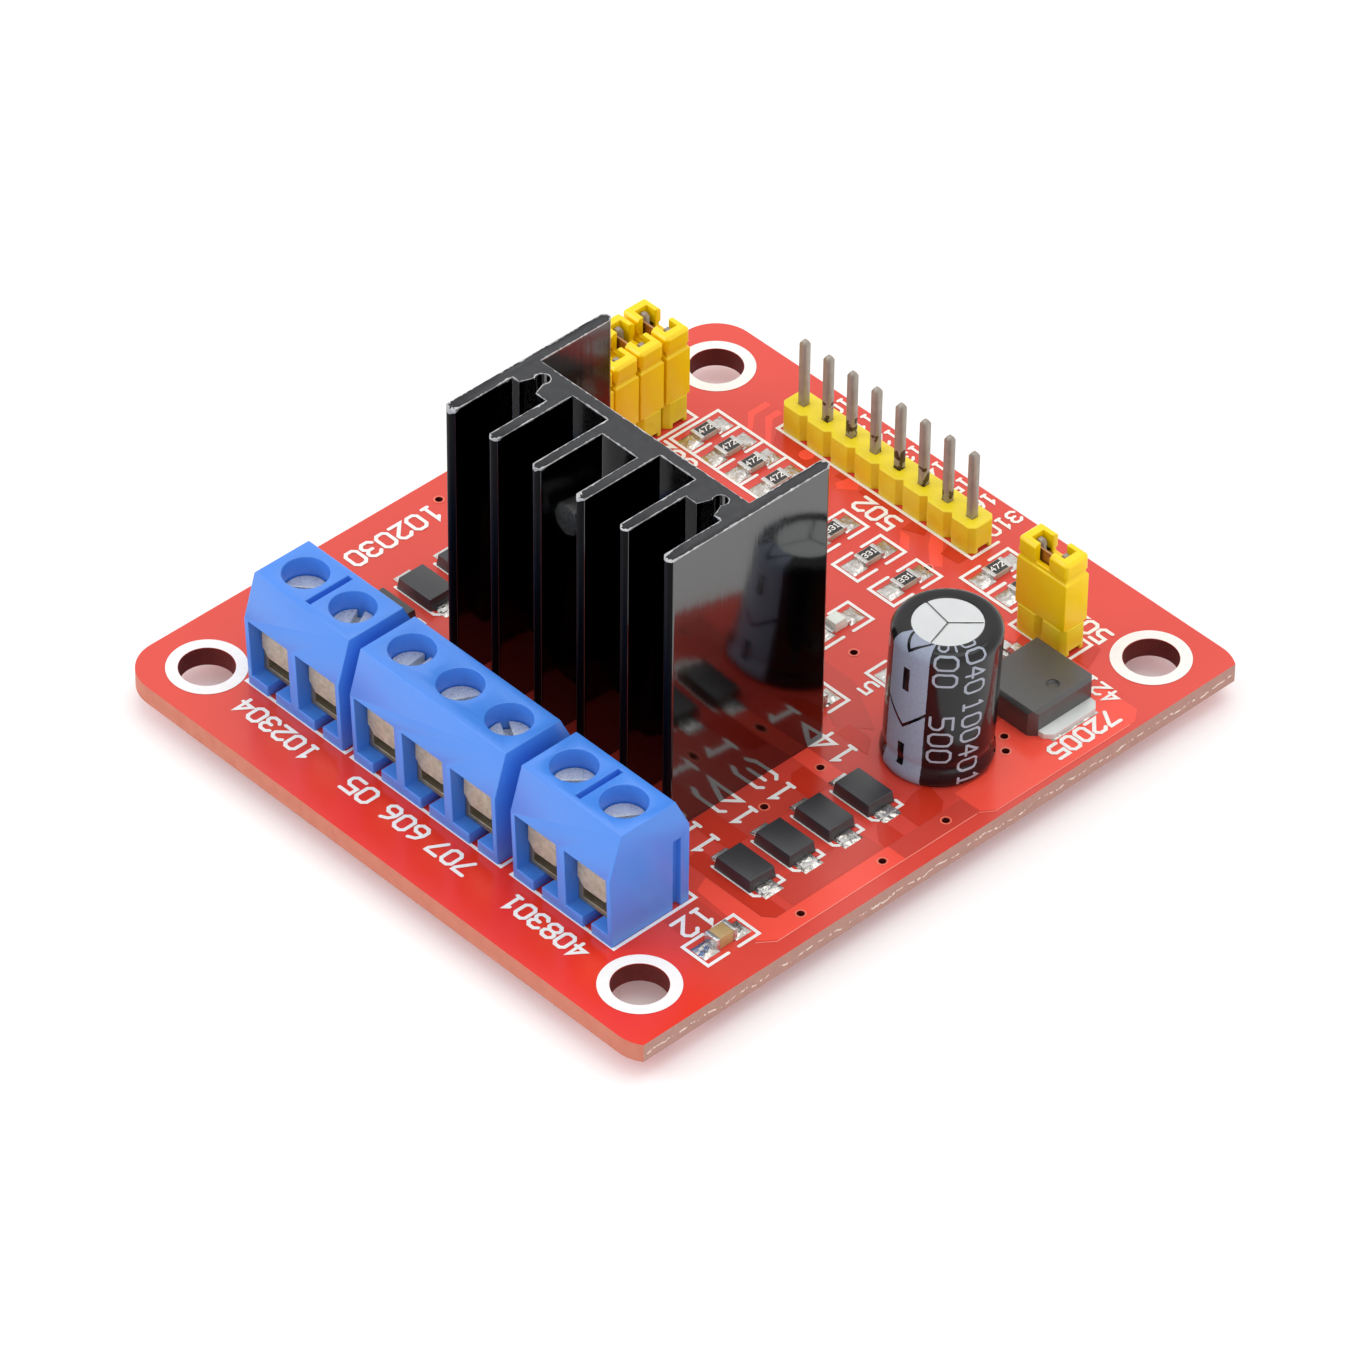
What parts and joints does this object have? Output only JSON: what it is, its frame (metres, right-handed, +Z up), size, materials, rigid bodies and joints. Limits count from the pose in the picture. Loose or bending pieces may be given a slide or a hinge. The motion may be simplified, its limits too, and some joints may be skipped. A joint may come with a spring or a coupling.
{
  "type": "dc motor driver module",
  "caption": "Red circuit board with a power chip on an upright black finned heatsink, blue screw terminals along the front, a pin header and yellow jumper caps.",
  "frame": {"origin": "on the board's vertical centre line, level with the ends of the soldered leads under it", "axes": "+X along the row of screw terminals, +Y from the terminals to the pin header, +Z up out of the board"},
  "size_m": [0.055, 0.06, 0.0286],
  "materials": {
    "board_laminate": "glossy red lacquer over glass fibre laminate",
    "heatsink_black": "black anodised, bare at the cut edges",
    "chip_resin": "matt black moulding resin",
    "tinned_metal": "tinned copper",
    "screw_steel": "nickel plated steel",
    "terminal_blue": "moulded blue plastic",
    "clamp_metal": "nickel plated brass",
    "guard_steel": "nickel plated sheet steel",
    "strip_yellow": "moulded lemon yellow plastic",
    "cap_yellow": "moulded yellow plastic",
    "pin_metal": "tinned square wire",
    "contact_bronze": "phosphor bronze strip",
    "can_aluminium": "bright drawn aluminium",
    "sleeve_film": "shrunk printed film",
    "seal_rubber": "moulded rubber",
    "resistor_film": "dark glaze on ceramic",
    "capacitor_ceramic": "tan fired ceramic",
    "lamp_resin": "clear resin over a white base",
    "solder": "bright solder"
  },
  "bodies": {
    "module": {"capacitor_bung": "seal_rubber", "capacitor_can": "can_aluminium", "capacitor_leads": "tinned_metal", "capacitor_sleeve": "sleeve_film", "ceramic_capacitor_bodies": "capacitor_ceramic", "ceramic_capacitor_end_caps": "tinned_metal", "chip_screw": "screw_steel", "circuit_board": "board_laminate", "diode_bodies": "chip_resin", "diode_leads": "tinned_metal", "driver_chip_body": "chip_resin", "driver_chip_leads": "tinned_metal", "driver_chip_tab": "tinned_metal", "header_base": "strip_yellow", "header_pins": "pin_metal", "heatsink": "heatsink_black", "indicator_lamp": "lamp_resin", "indicator_lamp_ends": "tinned_metal", "jumper_bases": "strip_yellow", "jumper_pins": "pin_metal", "left_terminal_cages": "clamp_metal", "left_terminal_housing": "terminal_blue", "middle_terminal_cages": "clamp_metal", "middle_terminal_housing": "terminal_blue", "regulator_body": "chip_resin", "regulator_leads": "tinned_metal", "regulator_tab": "tinned_metal", "resistor_bodies": "resistor_film", "resistor_end_caps": "tinned_metal", "right_terminal_cages": "clamp_metal", "right_terminal_housing": "terminal_blue", "solder_joints": "solder"},
    "guard_1": {"wire_guard_1": "guard_steel"},
    "screw_1": {"clamp_screw_1": "screw_steel"},
    "guard_2": {"wire_guard_2": "guard_steel"},
    "screw_2": {"clamp_screw_2": "screw_steel"},
    "guard_3": {"wire_guard_3": "guard_steel"},
    "screw_3": {"clamp_screw_3": "screw_steel"},
    "guard_4": {"wire_guard_4": "guard_steel"},
    "screw_4": {"clamp_screw_4": "screw_steel"},
    "guard_5": {"wire_guard_5": "guard_steel"},
    "screw_5": {"clamp_screw_5": "screw_steel"},
    "guard_6": {"wire_guard_6": "guard_steel"},
    "screw_6": {"clamp_screw_6": "screw_steel"},
    "guard_7": {"wire_guard_7": "guard_steel"},
    "screw_7": {"clamp_screw_7": "screw_steel"},
    "cap_1": {"jumper_cap_1": "cap_yellow", "jumper_clip_1": "contact_bronze"},
    "cap_2": {"jumper_cap_2": "cap_yellow", "jumper_clip_2": "contact_bronze"},
    "cap_3": {"jumper_cap_3": "cap_yellow", "jumper_clip_3": "contact_bronze"},
    "cap_4": {"jumper_cap_4": "cap_yellow", "jumper_clip_4": "contact_bronze"},
    "cap_5": {"jumper_cap_5": "cap_yellow", "jumper_clip_5": "contact_bronze"}
  },
  "joints": [
    {"name": "guard_1_lift", "type": "slide", "parent": "module", "child": "guard_1", "axis": [0, 0, 1], "range_m": [-0.00139, 0.00108]},
    {"name": "screw_1_turn", "type": "hinge", "parent": "guard_1", "child": "screw_1", "pos_m": [-0.01694, -0.02083, 0], "axis": [0, 0, 1], "range_deg": [-1000, 780]},
    {"name": "guard_2_lift", "type": "slide", "parent": "module", "child": "guard_2", "axis": [0, 0, 1], "range_m": [-0.00139, 0.00108]},
    {"name": "screw_2_turn", "type": "hinge", "parent": "guard_2", "child": "screw_2", "pos_m": [-0.01186, -0.02083, 0], "axis": [0, 0, 1], "range_deg": [-1000, 780]},
    {"name": "guard_3_lift", "type": "slide", "parent": "module", "child": "guard_3", "axis": [0, 0, 1], "range_m": [-0.00139, 0.00108]},
    {"name": "screw_3_turn", "type": "hinge", "parent": "guard_3", "child": "screw_3", "pos_m": [-0.00558, -0.02083, 0], "axis": [0, 0, 1], "range_deg": [-1000, 780]},
    {"name": "guard_4_lift", "type": "slide", "parent": "module", "child": "guard_4", "axis": [0, 0, 1], "range_m": [-0.00139, 0.00108]},
    {"name": "screw_4_turn", "type": "hinge", "parent": "guard_4", "child": "screw_4", "pos_m": [-0.0005, -0.02083, 0], "axis": [0, 0, 1], "range_deg": [-1000, 780]},
    {"name": "guard_5_lift", "type": "slide", "parent": "module", "child": "guard_5", "axis": [0, 0, 1], "range_m": [-0.00139, 0.00108]},
    {"name": "screw_5_turn", "type": "hinge", "parent": "guard_5", "child": "screw_5", "pos_m": [0.00458, -0.02083, 0], "axis": [0, 0, 1], "range_deg": [-1000, 780]},
    {"name": "guard_6_lift", "type": "slide", "parent": "module", "child": "guard_6", "axis": [0, 0, 1], "range_m": [-0.00139, 0.00108]},
    {"name": "screw_6_turn", "type": "hinge", "parent": "guard_6", "child": "screw_6", "pos_m": [0.01127, -0.02083, 0], "axis": [0, 0, 1], "range_deg": [-1000, 780]},
    {"name": "guard_7_lift", "type": "slide", "parent": "module", "child": "guard_7", "axis": [0, 0, 1], "range_m": [-0.00139, 0.00108]},
    {"name": "screw_7_turn", "type": "hinge", "parent": "guard_7", "child": "screw_7", "pos_m": [0.01635, -0.02083, 0], "axis": [0, 0, 1], "range_deg": [-1000, 780]},
    {"name": "cap_1_pull", "type": "slide", "parent": "module", "child": "cap_1", "axis": [0, 0, 1], "range_m": [0, 0.007]},
    {"name": "cap_2_pull", "type": "slide", "parent": "module", "child": "cap_2", "axis": [0, 0, 1], "range_m": [0, 0.007]},
    {"name": "cap_3_pull", "type": "slide", "parent": "module", "child": "cap_3", "axis": [0, 0, 1], "range_m": [0, 0.007]},
    {"name": "cap_4_pull", "type": "slide", "parent": "module", "child": "cap_4", "axis": [0, 0, 1], "range_m": [0, 0.007]},
    {"name": "cap_5_pull", "type": "slide", "parent": "module", "child": "cap_5", "axis": [0, 0, 1], "range_m": [0, 0.007]}
  ],
  "couplings": [
    {"joint": "screw_1_turn", "follows": "guard_1_lift", "rad_per_m": 12566},
    {"joint": "screw_2_turn", "follows": "guard_2_lift", "rad_per_m": 12566},
    {"joint": "screw_3_turn", "follows": "guard_3_lift", "rad_per_m": 12566},
    {"joint": "screw_4_turn", "follows": "guard_4_lift", "rad_per_m": 12566},
    {"joint": "screw_5_turn", "follows": "guard_5_lift", "rad_per_m": 12566},
    {"joint": "screw_6_turn", "follows": "guard_6_lift", "rad_per_m": 12566},
    {"joint": "screw_7_turn", "follows": "guard_7_lift", "rad_per_m": 12566}
  ]
}
